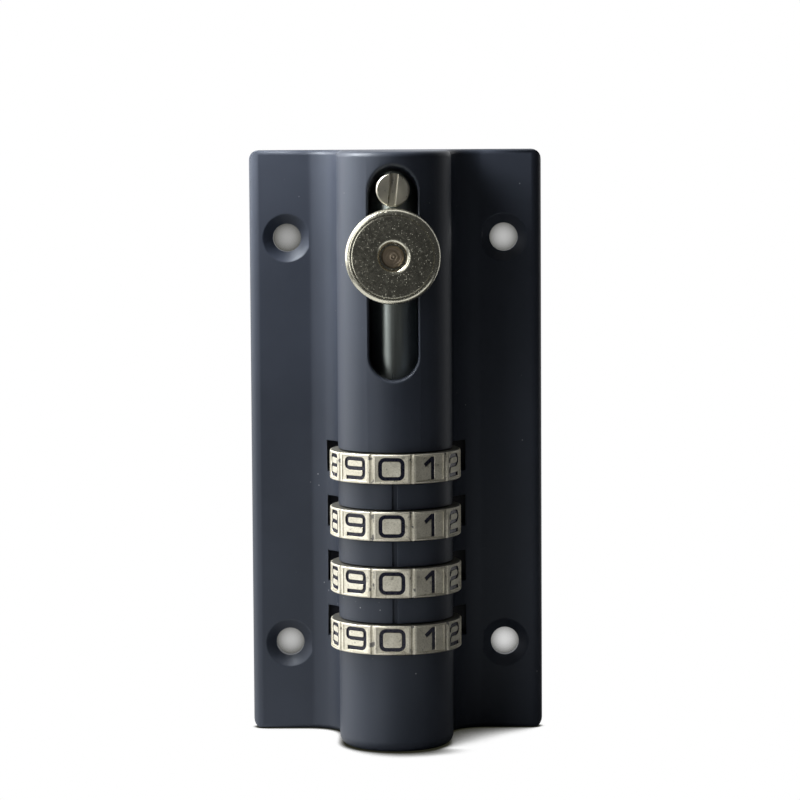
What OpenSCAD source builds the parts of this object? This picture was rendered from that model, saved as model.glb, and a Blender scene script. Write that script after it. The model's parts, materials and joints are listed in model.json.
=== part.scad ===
// Surface-mounted locking bolt worked by four numbered dials.
// Origin: centre of the four fixing holes, on the back face.
// +Z up, the dials face -Y, the back face is the plane y = 0.

/* [Case] */
// Width of the case
case_w = 60; // [56:1:70]
// Height of the case
case_h = 120; // [118:1:126]
// Thickness of the flange
flange_t = 4; // [3.5:0.25:5]
// Radius of the flange's corners
corner_r = 2; // [1:0.5:4]
// Rounding of the flange's front edges at its sides
flange_edge_r = 2.5; // [1.6:0.1:2.8]
// Rounding of the case's front edges at its ends
case_end_r = 1.2; // [0.8:0.1:1.6]
// Radius of the barrel
barrel_r = 11.5; // [11.25:0.25:12]
// Depth of the barrel's axis below the back face
axis_depth = 20; // [19.5:0.25:21]
// Radius of the hollow fillet between barrel and flange
web_fillet_r = 7; // [5:0.5:8]
// Rounding of the barrel's lower edge
barrel_foot_r = 2.2; // [1:0.2:2.6]

/* [Fixing holes] */
// Spacing of the fixing holes across the case
hole_span_x = 44.6; // [43:0.2:46]
// Spacing of the fixing holes up the case
hole_span_z = 84; // [82:1:92]
// Diameter of a fixing hole
hole_d = 5.8; // [5:0.2:6]
// Diameter of its countersink at the front
countersink_d = 9.8; // [9:0.2:11]
// Depth of the countersink
countersink_t = 2; // [1.5:0.25:2.5]

/* [Bolt] */
// Diameter of the round bolt
bolt_d = 12; // [11.5:0.25:12.5]
// Travel of the bolt, down and out of the barrel
bolt_throw = 20; // [18:0.5:20]
// Distance of the bolt's tip above the case's lower end when drawn back
bolt_tip_inset = 0.3; // [0.2:0.1:1]
// Chamfer of the bolt's ends
bolt_chamfer = 0.8; // [0.4:0.1:1.2]
// Width of the slot that the knob runs in
slot_w = 9.8; // [9.6:0.1:10.2]
// Length of that slot
slot_h = 42.6; // [42.6:0.1:44]
// Metal between the slot and the case's upper end
slot_top_wall = 2.75; // [2.5:0.25:4]
// Lean of the slot's upper end wall, which opens towards the front
slot_lean = 13; // [0:1:15]

/* [Knob] */
// Diameter of the knob's head
knob_d = 18.7; // [16:0.1:20]
// Thickness of the knob's head
knob_t = 6; // [5:0.25:7]
// Distance of the knob's centre below the case's upper end
knob_drop = 20.5; // [20:0.25:20.75]
// Gap between the barrel and the knob's head
knob_gap = 1.2; // [0.8:0.1:2]
// Rounding of the knob's front rim
knob_rim_r = 1.4; // [0.8:0.1:1.8]
// Diameter of the hole in the knob's face
knob_eye_d = 5.3; // [5:0.1:6]
// Chamfer of that hole
knob_eye_chamfer = 0.75; // [0.4:0.05:1]
// Diameter of the stud that the knob is screwed on
stud_d = 4.4; // [4:0.1:4.8]

/* [Code change screw] */
// Distance of the screw below the case's upper end
change_drop = 7.6; // [7.6:0.1:8]
// Diameter of the screw's head
change_head_d = 6.7; // [6:0.1:7]
// Width of the driver slot
driver_w = 1.5; // [1:0.1:1.8]
// Lean of the driver slot from upright
driver_lean = 6; // [0:1:15]
// Diameter of the screw's shank
change_shank_d = 3.6; // [3.2:0.1:4]

/* [Dials] */
// Number of dials
dial_count = 4; // [4:1:4]
// Diameter of a dial over its rims
dial_d = 26.4; // [26:0.1:26.8]
// Height of a dial
dial_h = 5.85; // [5.6:0.05:5.9]
// Spacing of the dials along the barrel
dial_pitch = 11.4; // [11.3:0.05:11.5]
// Height of the lowest dial's centre above the case's lower end
dial_rise = 23; // [22.9:0.1:23.3]
// Turn of the dials away from the index line
dial_turn = -2.6; // [-3:0.2:3]
// Distance of a cell's flat panel from the axis
panel_apothem = 12.65; // [12.55:0.05:12.75]
// Width of a cell's flat panel
panel_w = 6.4; // [6:0.1:6.6]
// Thickness of the rim above and below a panel
panel_rim = 0.42; // [0.3:0.02:0.5]
// Depth of the engraved numbers
engrave_t = 0.3; // [0.2:0.05:0.4]
// Width of the engraved line
engrave_w = 0.72; // [0.6:0.02:0.8]
// Radius of the groove between two cells
cell_groove_r = 0.4; // [0.3:0.05:0.5]

/* [Sleeves and lugs] */
// Height of a sleeve
sleeve_h = 5; // [4.8:0.1:5.2]
// Outer radius of a sleeve
sleeve_r = 9.3; // [9.2:0.05:9.4]
// Width of the gate in a sleeve
gate_w = 2.6; // [2.5:0.05:2.8]
// Thickness of the lug strip
strip_w = 1.6; // [1.4:0.1:1.7]
// Reach of a lug from the axis
lug_r = 7.7; // [7.5:0.05:7.8]
// Height of a lug
lug_h = 1.5; // [1.3:0.1:1.6]
// Height of a lug above its dial's centre when the bolt is drawn back
lug_rise = 4.3; // [4.2:0.05:4.4]

/* [Clearances] */
// Radial gap of a running fit
run_gap = 0.1; // [0.06:0.01:0.1]
// Gap between a dial and its window, above and below
window_gap = 0.225; // [0.2:0.025:0.25]
// Gap between a dial and its window at the sides
window_side_gap = 1; // [0.8:0.1:1.2]
// Gap between pieces that are fitted together
fit_gap = 0.05; // [0.03:0.01:0.08]

/* [Hidden] */
$fn = 64;

// Reach of a cutter past the face that it opens
over = 1;
// Overlap that makes an edge cross a face instead of touching it
cross = 0.02;
axis_y = -axis_depth;
barrel_front = axis_y - barrel_r;
half_h = case_h / 2;
web_half_w = barrel_r - 0.05;
bolt_r = bolt_d / 2;
bore_r = bolt_r + run_gap;
bore_top = half_h - slot_top_wall + 0.4;
bolt_top = bore_top - 0.5;
bolt_tip = -half_h + bolt_tip_inset;
slot_top = half_h - slot_top_wall;
knob_z = half_h - knob_drop;
change_z = half_h - change_drop;
dial_top_z = dial_rise - half_h + (dial_count - 1) * dial_pitch;

// Windows of the dials
window_h = dial_h + 2 * window_gap;
window_half_w = dial_d / 2 + window_side_gap;
index_w = 0.9;
index_t = 0.6;

// Back plate and the recess that it lies in
plate_t = 1.4;
plate_recess = 1.5;
plate_half_w = 16;
plate_top_inset = 26;
plate_foot_inset = 6;
plate_top = half_h - plate_top_inset;
plate_foot = plate_foot_inset - half_h;
plate_corner_r = 2;
plate_screw_x = 9;
plate_screw_inset = 4;
plate_screw_r = 1.5;
plate_screw_head_r = 2.7;
plate_screw_length = 7;
plate_screw_clear = 0.6;
plate_screw_slot_w = 0.7;
plate_screw_slot_t = 0.5;

// Guide bush at the barrel's lower end
bush_r = 8.4;
bush_h = 5.5;
bush_inset = 0.1;

// Keyway for the lugs, and the track of the change screw's tip
keyway_half_w = 1.1;
keyway_r = 7.95;
keyway_clear = 2.5;
keyway_top = dial_top_z + lug_rise + keyway_clear;
track_half_w = 2.1;
track_r = 7.9;
track_clear = 2.2;
track_top = change_z + track_clear;
track_foot = change_z - bolt_throw - track_clear;

// Knob and stud
seat_y = axis_y - bolt_r + 1;
neck_r = slot_w / 2 - 0.15;
knob_back = barrel_front - knob_gap;
knob_face = knob_back - knob_t;
stud_face = knob_face + 0.8;
stud_depth = 3;
stud_foot = axis_y + stud_depth;
eye_depth = 1.6;

// Code change screw
change_face = barrel_front + 0.3;
change_head_t = 1.6;
change_collar_r = 2.9;
driver_t = 0.7;
shank_r = change_shank_d / 2;
tip_length = 1.2;
change_tip_y = axis_y + bolt_r + tip_length;
change_edge = 0.25;
clip_t = 0.6;
clip_r = 3;
clip_rise = 2.2;
clip_y = axis_y + clip_rise;

// Ball that holds the bolt at either end of its travel
detent_drop = 13.5;
detent_z = knob_z - detent_drop;
ball_r = 2;
ball_y = axis_y + bolt_r + fit_gap + ball_r;
ball_bore_r = 2.15;
detent_wire_r = 0.25;
detent_coil_r = 1.55;
detent_turns = 6;
dimple_t = 0.55;

// Click spring behind the dials
spring_t = 0.5;
spring_x0 = -14;
spring_x1 = -9.6;
spring_overhang = 3.6;
finger_h = 3.6;
finger_tip_angle = 72;
finger_tip_r = 0.55;
tip_circle_r = dial_d / 2 + 0.12 + finger_tip_r;
rivet_r = 0.9;
rivet_head_r = 1.5;
rivet_head_t = 0.4;

// Dials and sleeves
cell_count = 10;
cell_step = 360 / cell_count;
dial_r = dial_d / 2;
spline_r = 0.6;
dial_bore_r = sleeve_r + run_gap;
strip_top = dial_top_z + lug_rise + 2;
strip_foot = dial_z(dial_count) + lug_rise - 2;
strip_root_r = 3.4;
pin_r = 0.75;
pin_depth = strip_root_r + 1.2;
pin_x = sqrt(bolt_r * bolt_r - pow(pin_depth + pin_r, 2)) - 0.1;

// Shapes of the numbers, as half sizes of the line's middle
num_x = 2.25;
num_y = 1.9;
num_r = num_y / 2;
arc_steps = 5;

function dial_z(k) = dial_top_z - (k - 1) * dial_pitch;

function arc(centre, r, from, to) = [
    for (i = [0:arc_steps])
        let (a = from + (to - from) * i / arc_steps)
        centre + r * [cos(a), sin(a)]];

function round_rect(x, y, r) = concat(
    arc([x - r, y - r], r, 0, 90), arc([r - x, y - r], r, 90, 180),
    arc([r - x, r - y], r, 180, 270), arc([x - r, r - y], r, 270, 360));

function left_of(a, b) = let (d = (b - a) / norm(b - a)) [-d.y, d.x];

function side(p, i) =
    i == 0 ? left_of(p[0], p[1]) :
    i == len(p) - 1 ? left_of(p[i - 1], p[i]) :
    let (a = left_of(p[i - 1], p[i]), b = left_of(p[i], p[i + 1]))
    (a + b) / (1 + a * b);

// Outline of a line of one width drawn along a path
function line_outline(p, w) = concat(
    [for (i = [0:len(p) - 1]) p[i] + side(p, i) * w / 2],
    [for (i = [len(p) - 1:-1:0]) p[i] - side(p, i) * w / 2]);

top_left = [num_r - num_x, num_y - num_r];
top_right = [num_x - num_r, num_y - num_r];
foot_right = [num_x - num_r, num_r - num_y];
foot_left = [num_r - num_x, num_r - num_y];

module line(path) {
    polygon(line_outline(path, engrave_w));
}

// Closed loop whose line runs round a box of half sizes x and y
module loop(x, y, r) {
    difference() {
        polygon(round_rect(x + engrave_w / 2, y + engrave_w / 2, r + engrave_w / 2));
        polygon(round_rect(x - engrave_w / 2, y - engrave_w / 2, r - engrave_w / 2));
    }
}

// Upright stroke with a slanting flag
module number_one() {
    top = num_y + engrave_w / 2;
    right = 0.8 + engrave_w / 2;
    left = right - engrave_w;
    polygon([[left, -top], [right, -top], [right, top], [left, top],
        [-1.25, 0.95], [-0.85, 0.35], [left, 1.3]]);
}

module number_nine() {
    translate([0, num_r]) loop(num_x, num_r, num_r * 0.75);
    line(concat([[num_x, num_r]], arc(foot_right, num_r, 0, -90), [[-num_x, -num_y]]));
}

module number(n) {
    if (n == 0) loop(num_x, num_y, num_r);
    if (n == 1) number_one();
    if (n == 2)
        line(concat([[-num_x, 0.6]], arc(top_left, num_r, 180, 90), arc(top_right, num_r, 90, -90),
            arc(foot_left, num_r, 90, 180), [[-num_x, -num_y], [num_x, -num_y]]));
    if (n == 3) {
        line(concat([[-num_x, 0.6]], arc(top_left, num_r, 180, 90),
            arc(top_right, num_r, 90, -90), [[-0.9, 0]]));
        line(concat([[-0.9, 0]], arc(foot_right, num_r, 90, -90),
            arc(foot_left, num_r, 270, 180), [[-num_x, -0.6]]));
    }
    if (n == 4) {
        line([[-1.7, num_y + engrave_w / 2], [-1.7, -0.75], [num_x, -0.75]]);
        line([[1.1, 1], [1.1, -num_y - engrave_w / 2]]);
    }
    if (n == 5)
        line(concat([[num_x, num_y], [-num_x, num_y], [-num_x, 0]], arc(foot_right, num_r, 90, -90),
            arc(foot_left, num_r, 270, 180), [[-num_x, -0.6]]));
    if (n == 6) rotate(180) number_nine();
    if (n == 7) line([[-num_x, num_y], [num_x, num_y], [num_x, 1.1], [-0.3, -num_y - engrave_w / 2]]);
    if (n == 8) {
        translate([0, num_r]) loop(num_x, num_r, num_r * 0.75);
        translate([0, -num_r]) loop(num_x, num_r, num_r * 0.75);
    }
    if (n == 9) number_nine();
}

// Puts what is drawn along Z onto an axis that points to the front
module facing_front(x, y, z) {
    translate([x, y, z]) rotate([90, 0, 0]) children();
}

module flange() {
    half_w = case_w / 2;
    intersection() {
        facing_front(0, 0, 0)
            linear_extrude(flange_t + over)
            polygon(round_rect(half_w, half_h, corner_r));
        difference() {
            translate([-half_w, -flange_t, -half_h]) cube([case_w, flange_t, case_h]);
            for (s = [-1, 1])
                translate([s * half_w, -flange_t, -half_h - over])
                    mirror([s > 0 ? 1 : 0, 0, 0])
                    linear_extrude(case_h + 2 * over) edge_round(flange_edge_r);
            // The rounding of the ends stops where the hollow fillets begin
            for (s = [-1, 1], t = [-1, 1])
                translate([s > 0 ? web_half_w + web_fillet_r : -half_w - over, -flange_t, t * half_h])
                    mirror([0, 0, t > 0 ? 1 : 0])
                    rotate([90, 0, 90])
                    linear_extrude(half_w - web_half_w - web_fillet_r + over) edge_round(case_end_r);
        }
    }
}

// Flat cutter that rounds a corner of a shape lying at x > 0, y > 0
module edge_round(r) {
    difference() {
        translate([-over, -over]) square([r + over - cross, r + over - cross]);
        translate([r - cross, r - cross]) circle(r);
    }
}

// Hollow fillet between barrel and flange
module web_fillet(s) {
    r = web_fillet_r;
    inside = barrel_foot_r + over;
    difference() {
        translate([s > 0 ? web_half_w - inside : -web_half_w - r, -flange_t - r, -half_h])
            cube([r + inside, r + inside, case_h]);
        translate([s * (web_half_w + r - cross), -flange_t - r + cross, -half_h - over])
            cylinder(r = r, h = case_h + 2 * over);
    }
}

// Rounding of a hollow fillet's ends, which runs on in the flange's and the barrel's
module web_end_cutter(s) {
    translate([s * (web_half_w + web_fillet_r - cross), -flange_t - web_fillet_r + cross, 0])
        for (t = [0, 1])
            mirror([0, 0, t])
                rotate_extrude()
                translate([web_fillet_r, half_h]) mirror([0, 1]) edge_round(case_end_r);
}

// Flat shape with rounded corners, on the right of x = from_x, as high as the case
module barrel_shape(half_w, from_x) {
    foot = barrel_foot_r;
    head = case_end_r;
    left = from_x < 0 ? 1 : 0;
    translate([from_x, foot]) square([half_w - from_x, case_h - foot - head]);
    translate([left * (foot - half_w), 0]) square([(1 + left) * (half_w - foot), foot]);
    translate([left * (head - half_w), case_h / 2]) square([(1 + left) * (half_w - head), case_h / 2]);
    for (s = left > 0 ? [-1, 1] : [1]) {
        translate([s * (half_w - foot), foot]) circle(foot);
        translate([s * (half_w - head), case_h - head]) circle(head);
    }
}

module barrel() {
    translate([0, axis_y, -half_h]) rotate_extrude() barrel_shape(barrel_r, 0);
    facing_front(0, 0, -half_h) linear_extrude(axis_depth) barrel_shape(web_half_w, -web_half_w);
}

module dial_window(k) {
    translate([-window_half_w, barrel_front - over, dial_z(k) - window_h / 2])
        cube([2 * window_half_w, -barrel_front + over - plate_recess + cross, window_h]);
}

// Round-ended slot whose upper end leans, so that its wall shows from the front
module slot_cutter() {
    r = slot_w / 2;
    foot = slot_top - slot_h + r;
    crown = slot_top - r / cos(slot_lean);
    drop = barrel_r * tan(slot_lean);
    deep = barrel_r + over;
    facing_front(0, axis_y, 0) {
        translate([0, foot, 0]) cylinder(r = r, h = deep);
        translate([-r, foot, 0]) cube([slot_w, crown - drop - foot, deep]);
        intersection() {
            translate([-slot_w, foot, 0]) cube([2 * slot_w, slot_h, deep]);
            translate([0, crown, barrel_r]) rotate([-slot_lean, 0, 0]) {
                translate([0, 0, -2 * barrel_r]) cylinder(r = r, h = 4 * barrel_r);
                translate([-r, -slot_w, -2 * barrel_r]) cube([slot_w, slot_w, 4 * barrel_r]);
            }
        }
    }
}

module body() {
    color("#23262f")
        difference() {
            union() {
                flange();
                barrel();
                for (s = [-1, 1]) web_fillet(s);
            }
            for (s = [-1, 1]) web_end_cutter(s);
            // Bore of the bolt and seat of its bush
            translate([0, axis_y, -half_h - over]) cylinder(r = bore_r, h = bore_top + half_h + over);
            translate([0, axis_y, -half_h - over])
                cylinder(r = bush_r + fit_gap, h = bush_h + bush_inset + over);
            translate([-keyway_half_w, axis_y, -half_h + bush_h])
                cube([2 * keyway_half_w, keyway_r, keyway_top + half_h - bush_h]);
            translate([-track_half_w, axis_y, track_foot])
                cube([2 * track_half_w, track_r, track_top - track_foot]);
            slot_cutter();
            for (k = [1:dial_count]) dial_window(k);
            // Index line between the dials
            for (k = [1:dial_count - 1])
                translate([-index_w / 2, barrel_front - over, dial_z(k) - dial_pitch])
                    cube([index_w, index_t + over, dial_pitch]);
            fixing_holes();
            back_recess();
        }
}

module fixing_holes() {
    for (x = [-1, 1], z = [-1, 1])
        facing_front(x * hole_span_x / 2, 0, z * hole_span_z / 2) {
            translate([0, 0, -over]) cylinder(d = hole_d, h = flange_t + 2 * over);
            translate([0, 0, flange_t - countersink_t])
                cylinder(d1 = hole_d, d2 = countersink_d, h = countersink_t + 0.001);
        }
}

// Recess for the back plate, and what opens into it
module back_recess() {
    translate([-plate_half_w - run_gap, -plate_recess, plate_foot - run_gap])
        cube([2 * (plate_half_w + run_gap), plate_recess + over, plate_top - plate_foot + 2 * run_gap]);
    for (p = plate_screw_places())
        facing_front(p.x, 0, p.y) cylinder(r = plate_screw_r + fit_gap, h = plate_screw_length + plate_screw_clear);
    facing_front(0, 0, detent_z) cylinder(r = ball_bore_r, h = -axis_y - bolt_r + over / 2);
    translate([spring_x0 - 0.4, -plate_recess - spring_t - 0.9, dial_z(dial_count) - spring_overhang - 0.4])
        cube([spring_x1 - spring_x0 + 0.8, spring_t + 1,
            dial_top_z - dial_z(dial_count) + 2 * spring_overhang + 0.8]);
}

function plate_screw_places() = [
    for (x = [-1, 1], z = [plate_foot + plate_screw_inset, plate_top - plate_screw_inset])
        [x * plate_screw_x, z]];

module back_plate() {
    mid = (plate_top + plate_foot) / 2;
    half = (plate_top - plate_foot) / 2;
    color("#8d9095")
        difference() {
            facing_front(0, -plate_recess + plate_t, mid)
                linear_extrude(plate_t)
                polygon(round_rect(plate_half_w, half, plate_corner_r));
            for (p = plate_screw_places())
                facing_front(p.x, 0, p.y) {
                    cylinder(r = plate_screw_r + run_gap, h = 2 * plate_t);
                    cylinder(r1 = plate_screw_head_r + 0.1, r2 = plate_screw_r + run_gap, h = 1.3);
                }
            for (z = rivet_places())
                facing_front(rivet_x, 0, z) cylinder(r = rivet_r + fit_gap, h = 2 * plate_t);
        }
}

module plate_screws() {
    color("#b9bcc0")
        for (p = plate_screw_places())
            facing_front(p.x, -plate_recess + plate_t - 0.1, p.y)
                difference() {
                    union() {
                        cylinder(r1 = plate_screw_head_r - 0.1, r2 = plate_screw_r, h = 1.2);
                        cylinder(r = plate_screw_r, h = plate_screw_length);
                    }
                    translate([-over - plate_screw_head_r, -plate_screw_slot_w / 2, -over])
                        cube([2 * (plate_screw_head_r + over), plate_screw_slot_w,
                            plate_screw_slot_t + over]);
                }
}

module bolt_bush() {
    color("#b08d4a")
        translate([0, axis_y, -half_h + bush_inset])
        difference() {
            cylinder(r = bush_r, h = bush_h - fit_gap);
            translate([0, 0, -over]) cylinder(r = bore_r, h = bush_h + 2 * over);
        }
}

rivet_x = (spring_x0 + spring_x1) / 2;
function rivet_places() = [for (k = [1, 3]) dial_z(k) - dial_pitch / 2];

// Comb of four fingers whose round tips rest behind the dials
module click_spring() {
    back = -plate_recess;
    tip = [tip_circle_r * cos(finger_tip_angle), axis_y + tip_circle_r * sin(finger_tip_angle)];
    root = [spring_x1 - 0.5, back - spring_t / 2];
    color("#a9adb3")
        union() {
            difference() {
                translate([spring_x0, back - spring_t, dial_z(dial_count) - spring_overhang])
                    cube([spring_x1 - spring_x0, spring_t,
                        dial_top_z - dial_z(dial_count) + 2 * spring_overhang]);
                for (z = rivet_places())
                    facing_front(rivet_x, 0, z) cylinder(r = rivet_r + fit_gap, h = plate_recess + spring_t + over);
            }
            for (k = [1:dial_count])
                translate([0, 0, dial_z(k) - finger_h / 2]) {
                    linear_extrude(finger_h) polygon(line_outline([root, tip], spring_t));
                    translate([tip.x, tip.y, 0]) cylinder(r = finger_tip_r, h = finger_h, $fn = 32);
                }
        }
}

module spring_rivets() {
    color("#c8c2b4")
        for (z = rivet_places())
            facing_front(rivet_x, -0.15, z) {
                cylinder(r = rivet_r, h = plate_recess + spring_t - 0.15);
                translate([0, 0, plate_recess + spring_t - 0.15]) cylinder(r = rivet_head_r, h = rivet_head_t);
            }
}

module detent_ball() {
    color("#d4d6d8") translate([0, ball_y, detent_z]) sphere(r = ball_r);
}

// Point of the spring's middle line after t turns
function coil_point(t, length) = [
    detent_coil_r * cos(360 * t), detent_coil_r * sin(360 * t), length * t / detent_turns];

module detent_spring() {
    steps = 12;
    sides = 6;
    foot = -plate_recess - detent_wire_r - 0.02;
    head = ball_y + sqrt(ball_r * ball_r - detent_coil_r * detent_coil_r) + detent_wire_r + 0.1;
    length = foot - head;
    count = detent_turns * steps;
    points = [
        for (i = [0:count])
            let (t = i / steps, c = coil_point(t, length), out = [cos(360 * t), sin(360 * t), 0])
            for (j = [0:sides - 1])
                let (a = 360 * j / sides)
                c + detent_wire_r * (cos(a) * out + sin(a) * [0, 0, 1])];
    faces = concat(
        [[for (j = [0:sides - 1]) j]],
        [for (i = [0:count - 1], j = [0:sides - 1])
            [i * sides + j, (i + 1) * sides + j, (i + 1) * sides + (j + 1) % sides,
                i * sides + (j + 1) % sides]],
        [[for (j = [sides - 1:-1:0]) count * sides + j]]);
    color("#bfc2c6") facing_front(0, foot, detent_z) polyhedron(points, faces);
}

module bolt() {
    color("#c6cacd")
        difference() {
            translate([0, axis_y, 0])
                rotate_extrude()
                polygon([[0, bolt_tip], [bolt_r - bolt_chamfer, bolt_tip], [bolt_r, bolt_tip + bolt_chamfer],
                    [bolt_r, bolt_top - bolt_chamfer], [bolt_r - bolt_chamfer, bolt_top], [0, bolt_top]]);
            // Seats and holes of the knob's stud and of the code change screw
            facing_front(0, seat_y, knob_z) cylinder(r = neck_r + 0.1, h = bolt_r);
            facing_front(0, stud_foot + fit_gap, knob_z) cylinder(d = stud_d + 2 * fit_gap, h = bolt_d);
            facing_front(0, seat_y, change_z) cylinder(r = change_collar_r + 0.2, h = bolt_r);
            facing_front(0, axis_y + bolt_r + over, change_z)
                cylinder(r = shank_r + run_gap, h = bolt_d + over);
            // Slit for the clip that keeps the screw in
            translate([-clip_r - 0.15, clip_y - fit_gap, change_z - clip_r - 0.15])
                cube([2 * clip_r + 0.3, clip_t + 2 * fit_gap, bolt_top - change_z + clip_r + over]);
            // Groove of the lug strip and its pin holes
            translate([-strip_w / 2 - fit_gap, axis_y + strip_root_r - fit_gap, strip_foot - fit_gap])
                cube([strip_w + 2 * fit_gap, bolt_r, strip_top - strip_foot + 2 * fit_gap]);
            for (z = strip_pin_places())
                translate([-bolt_r, axis_y + pin_depth, z])
                    rotate([0, 90, 0])
                    cylinder(r = pin_r + fit_gap, h = bolt_d, $fn = 32);
            // Hollows that the detent ball drops into
            for (z = [detent_z, detent_z + bolt_throw])
                translate([0, axis_y + bolt_r + ball_r - dimple_t, z]) sphere(r = ball_r);
        }
}

function strip_pin_places() = [strip_top - 2 - dial_pitch / 2, strip_foot + 2 + dial_pitch / 2];

module lug_strip() {
    color("#9a9ea3")
        difference() {
            union() {
                translate([-strip_w / 2, axis_y + strip_root_r, strip_foot])
                    cube([strip_w, bolt_r - 0.05 - strip_root_r, strip_top - strip_foot]);
                for (k = [1:dial_count])
                    translate([-strip_w / 2, axis_y + strip_root_r, dial_z(k) + lug_rise - lug_h / 2])
                        cube([strip_w, lug_r - strip_root_r, lug_h]);
            }
            for (z = strip_pin_places())
                translate([-strip_w, axis_y + pin_depth, z])
                    rotate([0, 90, 0])
                    cylinder(r = pin_r + fit_gap, h = 2 * strip_w, $fn = 32);
        }
}

module strip_pins() {
    color("#c9ccd0")
        for (z = strip_pin_places())
            translate([-pin_x, axis_y + pin_depth, z])
                rotate([0, 90, 0])
                cylinder(r = pin_r, h = 2 * pin_x, $fn = 32);
}

module knob() {
    eye_r = knob_eye_d / 2;
    head_r = knob_d / 2;
    back_edge = 0.6;
    color("#b5ad9d")
        facing_front(0, 0, knob_z)
        difference() {
            union() {
                translate([0, 0, -knob_back])
                    rotate_extrude()
                    union() {
                        square([head_r - knob_rim_r, knob_t]);
                        polygon([[0, 0], [head_r - back_edge, 0], [head_r, back_edge],
                            [head_r, knob_t - knob_rim_r], [0, knob_t - knob_rim_r]]);
                        translate([head_r - knob_rim_r, knob_t - knob_rim_r]) circle(knob_rim_r);
                    }
                translate([0, 0, -seat_y]) cylinder(r = neck_r, h = seat_y - knob_back + over);
            }
            translate([0, 0, -seat_y - over]) cylinder(d = stud_d + 2 * fit_gap, h = bolt_d * 2);
            translate([0, 0, -knob_face - eye_depth]) cylinder(r = eye_r, h = eye_depth + over);
            translate([0, 0, -knob_face - knob_eye_chamfer])
                cylinder(r1 = eye_r, r2 = eye_r + knob_eye_chamfer, h = knob_eye_chamfer + 0.001);
        }
}

module knob_stud() {
    r = stud_d / 2;
    color("#8b735c")
        facing_front(0, stud_foot, knob_z)
        rotate_extrude() {
            h = stud_foot - stud_face;
            difference() {
                polygon([[0, 0], [r - 0.4, 0], [r, 0.4], [r, h - 0.3], [r - 0.3, h], [0, h]]);
                // Turned rings in the end
                translate([1.15, h - 0.12]) square([0.3, 1]);
                polygon([[0, h - 0.35], [0.35, h + 0.05], [0, h + 0.05]]);
            }
        }
}

// Half profile of the screw, from its tip behind the bolt to its head
module change_screw_profile() {
    head_r = change_head_d / 2;
    tip = 0;
    groove = change_tip_y - clip_y - clip_t;
    seat = change_tip_y - seat_y + fit_gap;
    head = change_tip_y - change_face - change_head_t;
    face = change_tip_y - change_face;
    polygon([[0, tip], [shank_r, tip], [shank_r, groove], [shank_r - 0.5, groove],
        [shank_r - 0.5, groove + clip_t], [shank_r, groove + clip_t], [shank_r, seat],
        [change_collar_r, seat], [change_collar_r, head], [head_r, head],
        [head_r, face - change_edge], [head_r - change_edge, face], [0, face]]);
}

// The tip behind the bolt is cut to a half round
module change_screw() {
    color("#b9b6ab")
        facing_front(0, change_tip_y, change_z)
        difference() {
            rotate_extrude() change_screw_profile();
            rotate(-driver_lean)
                translate([-driver_w / 2, -change_head_d, change_tip_y - change_face - driver_t])
                cube([driver_w, 2 * change_head_d, driver_t + over]);
            translate([-shank_r - over, 0, -over])
                cube([2 * (shank_r + over), shank_r + over, over + tip_length - 0.1]);
        }
}

// Horseshoe clip in the screw's groove
module screw_clip() {
    inner = shank_r - 0.4;
    color("#a7abb0")
        facing_front(0, clip_y + clip_t - fit_gap, change_z)
        difference() {
            cylinder(r = clip_r, h = clip_t - 2 * fit_gap);
            translate([0, 0, -over]) cylinder(r = inner, h = clip_t + 2 * over);
            translate([-inner * 0.9, -clip_r - over, -over])
                cube([1.8 * inner, clip_r + over, clip_t + 2 * over]);
        }
}

module dial(k) {
    half = dial_h / 2;
    edge = 0.2;
    color("#b9b4a6")
        translate([0, axis_y, dial_z(k)])
        rotate([0, 0, dial_turn])
        difference() {
            rotate_extrude($fn = 100)
                polygon([[dial_bore_r, -half], [dial_r - edge, -half], [dial_r, edge - half],
                    [dial_r, half - edge], [dial_r - edge, half], [dial_bore_r, half]]);
            for (i = [0:cell_count - 1])
                rotate([0, 0, i * cell_step]) {
                    translate([-panel_w / 2, -dial_r - over, panel_rim - half])
                        cube([panel_w, dial_r + over - panel_apothem, dial_h - 2 * panel_rim]);
                    facing_front(0, engrave_t - panel_apothem, 0) linear_extrude(over) number(i);
                    rotate([0, 0, cell_step / 2])
                        translate([0, -dial_r - 0.05, -half - over])
                        cylinder(r = cell_groove_r, h = dial_h + 2 * over, $fn = 24);
                    // Splines that the sleeve's ribs sit in
                    translate([dial_bore_r, 0, -half - over])
                        cylinder(r = spline_r + run_gap, h = dial_h + 2 * over, $fn = 24);
                }
        }
}

module sleeve(k) {
    color("#b2904c")
        translate([0, axis_y, dial_z(k) - sleeve_h / 2])
        rotate([0, 0, dial_turn])
        difference() {
            union() {
                cylinder(r = sleeve_r, h = sleeve_h);
                for (i = [0:cell_count - 1])
                    rotate([0, 0, i * cell_step])
                        translate([dial_bore_r, 0, 0])
                        cylinder(r = spline_r, h = sleeve_h, $fn = 24);
            }
            translate([0, 0, -over]) cylinder(r = bore_r, h = sleeve_h + 2 * over);
            translate([-gate_w / 2, 0, -over]) cube([gate_w, lug_r + 0.3, sleeve_h + 2 * over]);
        }
}

body();
back_plate();
plate_screws();
bolt_bush();
click_spring();
spring_rivets();
detent_ball();
detent_spring();
bolt();
lug_strip();
strip_pins();
knob();
knob_stud();
change_screw();
screw_clip();
dial(1);  // dial_1
dial(2);  // dial_2
dial(3);  // dial_3
dial(4);  // dial_4
sleeve(1);  // sleeve_1
sleeve(2);  // sleeve_2
sleeve(3);  // sleeve_3
sleeve(4);  // sleeve_4
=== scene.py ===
# %% [markdown]
# A locking bolt worked by four numbered dials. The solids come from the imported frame: this
# script gives them their finish, softens the edges that a casting or a turned part has, and
# sets up the studio that the photograph was taken in.

# %% Load the frame
import json
import math

import bmesh
import bpy
from mathutils import Matrix, Vector


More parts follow.
